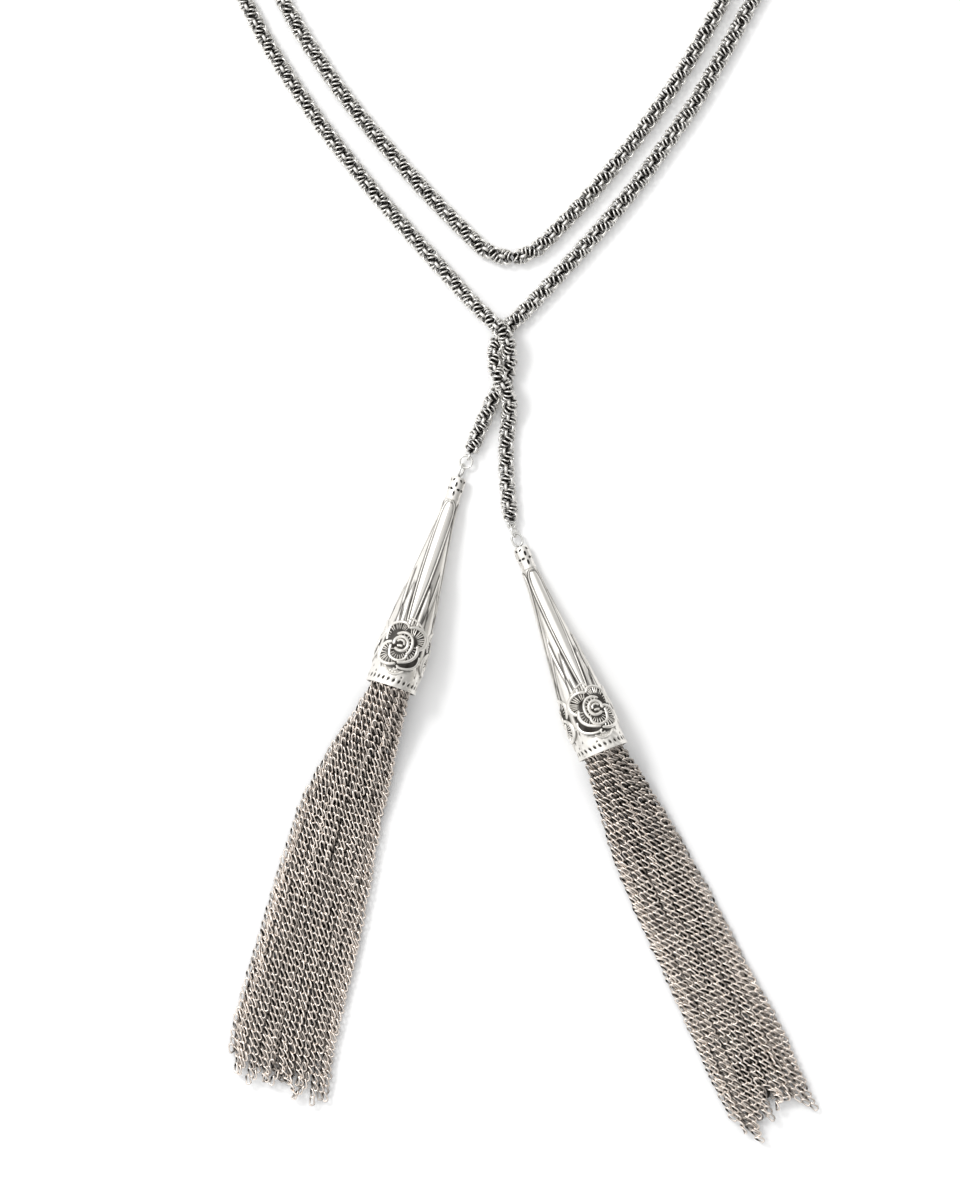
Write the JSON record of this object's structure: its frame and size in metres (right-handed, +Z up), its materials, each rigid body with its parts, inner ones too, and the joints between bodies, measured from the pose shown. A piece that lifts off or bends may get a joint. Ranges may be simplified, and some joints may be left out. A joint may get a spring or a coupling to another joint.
{
  "type": "lariat necklace",
  "caption": "Antique-silver woven rope chain laid twice round and knotted once, with rose-relief cone caps and fine-chain tassels at its ends.",
  "frame": {"origin": "middle of the neck opening, on the surface that the necklace lies on", "axes": "+Y from the tassels towards the back of the neck, which is the picture's up, +X to the picture's right, +Z up off the surface"},
  "size_m": [0.1712, 0.4348, 0.0158],
  "materials": {
    "rope_chain": "antiqued silver plate, bright on the outer rings and blackened in the gaps of the weave",
    "ring_wire": "polished antique-silver wire, slightly darkened",
    "cast_silver": "cast metal with antique-silver plate, rubbed bright on the raised petals and oxidised dark in the recesses",
    "tassel_chain": "fine curb chain with warm grey antique-silver plate, dark between the links"
  },
  "bodies": {
    "root": {"rope_chain_left_half": "rope_chain", "rope_chain_right_half": "rope_chain", "jump_ring_left": "ring_wire", "jump_ring_right": "ring_wire", "cone_cap_left": "cast_silver", "cone_cap_right": "cast_silver", "tassel_left": "tassel_chain", "tassel_right": "tassel_chain"}
  },
  "joints": []
}
